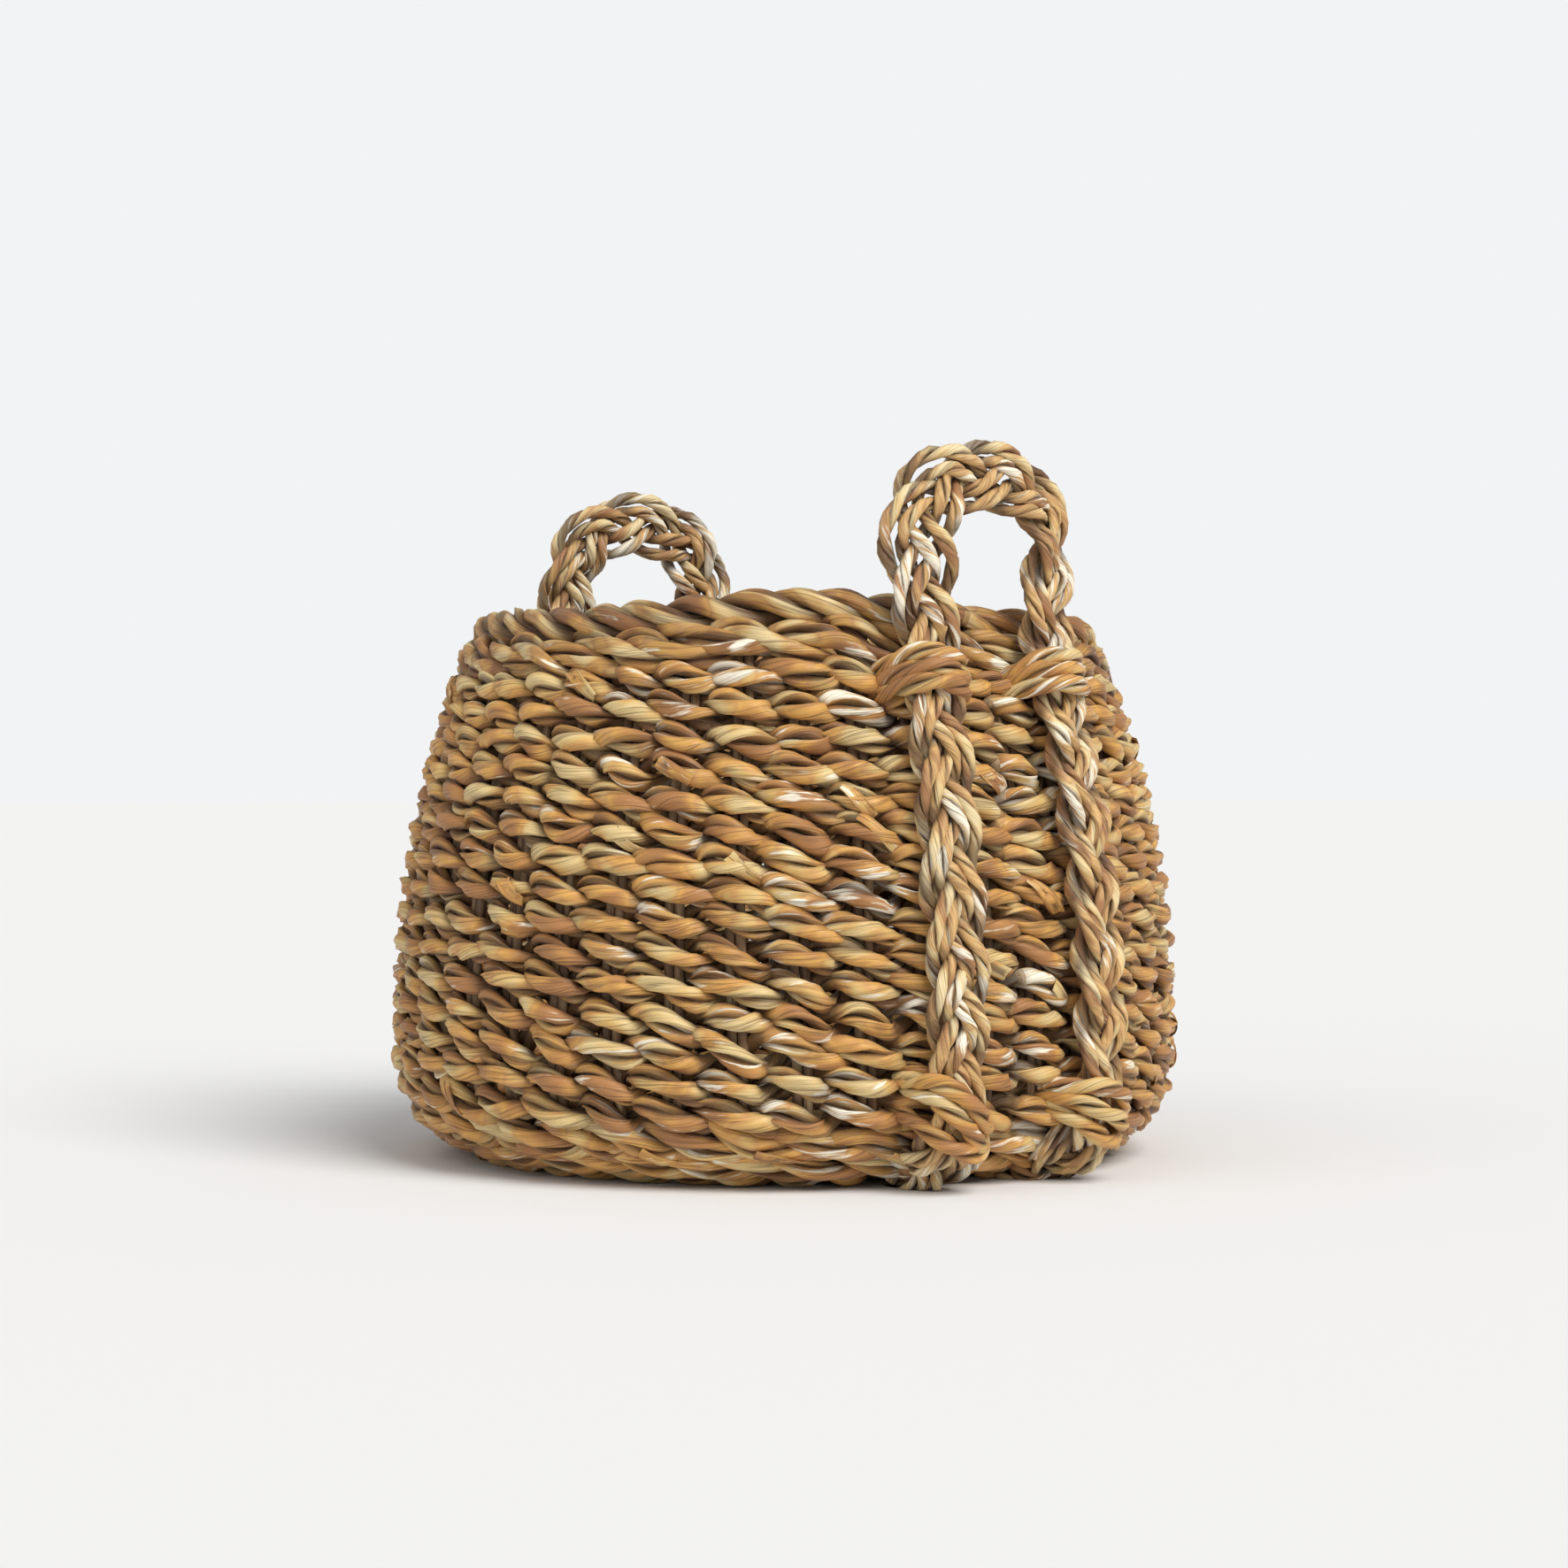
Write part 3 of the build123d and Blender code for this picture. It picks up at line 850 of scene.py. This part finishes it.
plaitCord = {
    "period": 0.068, "wide": 0.0068, "deep": 0.0030, "bundle": 2, "apart": 0.0050, "step": 0.0021,
    "plies": 2, "offset": (0.00116, 0.00130), "ply": (0.00158, 0.00200), "layLength": 0.026, "sides": 10,
    "wrinkle": 0.0016, "keen": 0.3, "swell": 1.1, "roll": 1.5, "groove": (0.0002, 0.0034),
    "wander": 0.35, "stray": 0.0007, "thick": (0.86, 1.12), "pale": (-0.5, 1.0),
    "looseFrom": 0.19, "looseOver": 0.02,       # the plait is looser in the loop than in the straps
    "looseTurn": (0.42, 0.58),      # share of its length where one leg's looseness turns into the other's
    "pinchAt": (0.176, 0.036), "pinchHalf": 0.007, "pinch": (0.16, 0.4, 0.12),      # across, deep, cord
    "tailTop": 0.030, "tailOver": 0.02, "tail": (0.25, 0.40),       # it opens out below the heel lashing
}
lashCord = {
    "plies": 2, "offset": (0.00120, 0.00170), "ply": (0.00190, 0.00240), "layLength": 0.036, "sides": 10,
    "wrinkle": 0.0022, "rim": 0.1825, "heel": 0.0385, "slope": {"rim": 0.0022, "heel": 0.0060},
    "strokes": 3, "spacing": 0.0052, "points": 33, "arch": 0.0018, "gather": 0.45, "halfSpan": 0.0160,
    "top": 0.0222, "low": 0.0010,       # off the wall's middle, over the strap and at its two ends
    "straySlope": (0.3, 1.6), "strayArch": (0.4, 1.4), "strayTop": (0.95, 1.03),
}


def resample(even, length, values):
    return np.stack([np.interp(even, length, values[:, k]) for k in range(3)], axis=1)


def soften(values):
    width = strapShape["soften"]
    kernel = np.exp(-0.5 * (np.arange(-3 * width, 3 * width + 1) / width) ** 2)
    kernel /= kernel.sum()
    padded = np.pad(values, ((3 * width, 3 * width), (0, 0)), mode="reflect", reflect_type="odd")
    return np.stack([np.convolve(padded[:, k], kernel, "valid") for k in range(3)], axis=1)


def strapLegs(shape, ahead):
    # middle of the plait up each strap, and the way out from the wall
    strap = strapShape
    along = np.linspace(strap["tailFrom"], strap["hinge"], 90)
    grow = np.clip((along - strap["tailFrom"]) / (strap["fullFrom"] - strap["tailFrom"]), 0, 1)
    rise = (grow * grow * (3 - 2 * grow)) ** 0.7
    radius, height = wallLine(along, strap["tailOffset"] + (strap["offset"] - strap["tailOffset"]) * rise)
    near = np.clip((along - strap["hinge"] + strap["standFrom"]) / strap["standFrom"], 0, 1)
    step = (strap["standoff"] * near)[:, None] * ahead
    legs = []
    for way in (1, -1):
        turn = math.radians(shape["turn"]) + way * math.radians(shape["strap"])
        turn = turn - strap["tuckAside"] * (1 - grow)
        legs.append((onRing(radius, turn, height) + step, onRing(1.0, turn, 0.0)))
    return legs


def handleLine(shape):
    # middle of the plait, up one strap, over and down the other, with the way its face looks
    strap, loop = strapShape, shape["loop"]
    facing = math.radians(shape["turn"])
    ahead = np.array([math.cos(facing), math.sin(facing), 0.0])
    leftward = np.array([-math.sin(facing), math.cos(facing), 0.0])
    legs = strapLegs(shape, ahead)
    out = legs[0][0][-1] @ ahead
    arch, swing = [], []
    for wide, high in loop:
        lean = strap["lean"] * (high - strap["leanFrom"]) / strap["leanOver"]
        arch.append(out * ahead + wide * leftward + np.array([0, 0, high]) - ahead * lean)
        turned = min(1, max(0, (high - strap["twistFrom"]) / strap["twistOver"]))
        swing.append(math.radians(shape["twist"]) * wide / loop[0][0] * turned)
    arch += [point - 2 * (point @ leftward) * leftward for point in arch[-2::-1]]
    swing += [-angle for angle in swing[-2::-1]]
    points = np.concatenate([legs[0][0], arch, legs[1][0][::-1]])
    loopFaces = [ahead * math.cos(angle) + leftward * math.sin(angle) for angle in swing]
    faces = np.concatenate([legs[0][1], loopFaces, legs[1][1][::-1]])
    length, total = lengthAlong(points, False)
    even = np.linspace(0, total, int(total / strap["fine"]))
    points, faces = (soften(resample(even, length, values)) for values in (points, faces))
    length, total = lengthAlong(points, False)
    even = np.arange(0, total, plaitCord["step"])
    points, faces = (resample(even, length, values) for values in (points, faces))
    tangent = unit(np.gradient(points, axis=0))
    faces -= (faces * tangent).sum(1)[:, None] * tangent
    return points, tangent, unit(faces), even


def makePlait(side, shape):
    plait = plaitCord
    rng = np.random.default_rng([shape["seed"], 8])
    points, tangent, face, length = handleLine(shape)
    across = np.cross(tangent, face)
    height = points[:, 2]
    inLoop = np.clip((height - plait["looseFrom"]) / plait["looseOver"], 0, 1)
    loose = 1 + inLoop * np.interp(length / length[-1], plait["looseTurn"], shape["loose"])
    pinch = sum(np.exp(-((height - at) / plait["pinchHalf"]) ** 2) for at in plait["pinchAt"])
    tail = np.clip((plait["tailTop"] - height) / plait["tailOver"], 0, 1)
    pinchWide, pinchDeep, pinchCord = plait["pinch"]
    tailWide, tailCord = plait["tail"]
    wide = plait["wide"] * loose * (1 - pinchWide * pinch + tailWide * tail)
    wander = openRandom(rng, length, 12, -plait["wander"], plait["wander"])
    strands = []
    for number in range(3):
        spin = 2 * math.pi * length / plait["period"] + 2 * math.pi * number / 3 + wander
        middle = points + (wide * np.sin(spin))[:, None] * across
        middle = middle + (plait["deep"] * (1 - pinchDeep * pinch) * np.sin(2 * spin))[:, None] * face
        beside = unit(np.cross(face, unit(np.gradient(middle, axis=0))))
        for cord in range(plait["bundle"]):
            apart = plait["apart"] * (cord - (plait["bundle"] - 1) / 2)
            stray = openRandom(rng, length, 30, -plait["stray"], plait["stray"])
            line = middle + (apart * loose + stray)[:, None] * beside + (0.6 * stray)[:, None] * face
            lay = -2 * math.pi * lengthAlong(line, False)[0] / plait["layLength"] + rng.uniform(0, 6)
            thick = openRandom(rng, length, 25, *plait["thick"]) * (1 - pinchCord * pinch + tailCord * tail)
            pale = np.clip(openRandom(rng, length, 40, *plait["pale"]), 0, 1)
            strands.append({"points": line, "side": face, "core": points, "thick": thick, "lay": lay,
                            "tone": rng.uniform(0, 9), "pale": pale, "closed": False})
    piece = layCord(f"{side}_handle_plait", strands, {**plait, "seed": shape["seed"]}, plaitFinish)
    restOnFloor(piece)
    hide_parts(f"{side}_strap_a", f"{side}_strap_b", f"{side}_handle_loop")
    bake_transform(piece)


def lashStroke(middle, where, stroke, rng):
    # one pass of cord over a strap, pressed to the wall on both sides of it
    lash = lashCord
    u = np.linspace(-1, 1, lash["points"])
    apart = (stroke - (lash["strokes"] - 1) / 2) * lash["spacing"] * (1 - lash["gather"] * u ** 2)
    along = lash[where] + apart - lash["slope"][where] * u * rng.uniform(*lash["straySlope"])
    along += lash["arch"] * (0.4 - u ** 2) * rng.uniform(*lash["strayArch"])
    dome = (1 - np.abs(u) ** 2.6) ** 0.8 * rng.uniform(*lash["strayTop"])
    outward = lash["low"] + (lash["top"] - lash["low"]) * dome
    radius, height = wallLine(along, outward)
    points = onRing(radius, middle + u * lash["halfSpan"] / radius, height)
    run = unit(np.gradient(points, axis=0))
    above = np.array([0, 0, 1.0]) - run * run[:, 2:3]
    lay = -2 * math.pi * lengthAlong(points, False)[0] / lash["layLength"] + rng.uniform(0, 6)
    return {"points": points, "side": unit(np.cross(run, above)), "thick": 1.0 - 0.15 * np.abs(u) ** 4,
            "lay": lay, "tone": rng.uniform(0, 9), "pale": rng.uniform(0, 0.6), "closed": False}


def makeLashing(side, shape, where, leg, way):
    rng = np.random.default_rng([shape["seed"], way + 2, len(where)])
    middle = math.radians(shape["turn"] + way * shape["strap"])
    strands = [lashStroke(middle, where, stroke, rng) for stroke in range(lashCord["strokes"])]
    name = f"{side}_{where}_lashing_{leg}"
    piece = layCord(f"{name}_cords", strands, {**lashCord, "seed": int(rng.integers(99))}, weaveFinish)
    place(piece, "basket", "plaited_cord", name)


for side, shape in handleShape.items():
    makePlait(side, shape)
    for where in ("rim", "heel"):
        makeLashing(side, shape, where, "a", 1)
        makeLashing(side, shape, where, "b", -1)
print("handles plaited")


# light, camera, floor
view = {"azimuth": 56.15, "distance": 1.185, "height": 0.136, "pitch": 0.16, "lens": 71.1}


def makeCamera():
    camera = bpy.data.cameras.new("camera")
    camera.lens = view["lens"]
    camera.sensor_width = 36
    holder = bpy.data.objects.new("camera", camera)
    around = math.radians(view["azimuth"])
    distance = view["distance"]
    holder.location = (math.sin(around) * distance, -math.cos(around) * distance, view["height"])
    holder.rotation_euler = (math.radians(90 + view["pitch"]), 0, around)
    bpy.context.scene.collection.objects.link(holder)
    bpy.context.scene.camera = holder


studio = {
    "floor": (0.84, 0.84, 0.845),
    "floorHalf": 40.0,      # far enough for its edge to be lost in the backdrop
    "sky": 0.40,
    "skyColor": (0.98, 0.99, 1.0),
    "key": {"right": 40, "up": 46, "power": 2.6, "soft": 38, "color": (1.0, 0.985, 0.955)},
    "fill": {"right": -45, "up": 35, "power": 0.45, "soft": 60, "color": (0.98, 0.99, 1.0)},
}


def makeSun(name, sun):
    # a soft distant lamp, placed in degrees round from the camera and up
    light = bpy.data.lights.new(name, "SUN")
    light.energy, light.color, light.angle = sun["power"], sun["color"], math.radians(sun["soft"])
    around = math.radians(view["azimuth"] + sun["right"])
    up = math.radians(sun["up"])
    toLamp = Vector((math.sin(around) * math.cos(up), -math.cos(around) * math.cos(up), math.sin(up)))
    holder = bpy.data.objects.new(name, light)
    holder.location = toLamp * 2
    holder.rotation_euler = toLamp.to_track_quat("Z", "Y").to_euler()
    bpy.context.scene.collection.objects.link(holder)


def makeFloor():
    mesh = bpy.data.meshes.new("floor")
    wide = studio["floorHalf"]
    corners = [(-wide, -wide, 0), (wide, -wide, 0), (wide, wide, 0), (-wide, wide, 0)]
    mesh.from_pydata(corners, [], [(0, 1, 2, 3)])
    floor = bpy.data.objects.new("floor", mesh)
    bpy.context.scene.collection.objects.link(floor)
    paper = bpy.data.materials.new("paleFloor")
    paper.use_nodes = True
    shader = paper.node_tree.nodes["Principled BSDF"]
    shader.inputs["Base Color"].default_value = (*studio["floor"], 1)
    shader.inputs["Roughness"].default_value = 1.0
    shader.inputs["Specular IOR Level"].default_value = 0.0
    mesh.materials.append(paper)


def makeWorld():
    # soft light all round; the camera sees the backdrop as bright as the lit floor, so no horizon shows
    world = bpy.data.worlds.new("studio")
    world.use_nodes = True
    tree = world.node_tree
    backdrop = tree.nodes["Background"]
    lit = studio["sky"]
    for sun in (studio["key"], studio["fill"]):
        lit += sun["power"] * math.sin(math.radians(sun["up"])) / math.pi
    backdrop.inputs["Color"].default_value = (*studio["skyColor"], 1)
    seen = addNode(tree, "ShaderNodeLightPath").outputs["Is Camera Ray"]
    links = {"Value": seen, "To Min": studio["sky"], "To Max": lit * studio["floor"][0]}
    tree.links.new(addNode(tree, "ShaderNodeMapRange", links).outputs[0], backdrop.inputs["Strength"])
    bpy.context.scene.world = world


makeCamera()
makeFloor()
makeSun("keyLight", studio["key"])
makeSun("fillLight", studio["fill"])
makeWorld()
bpy.context.scene.view_settings.view_transform = "Standard"
print("stage set")
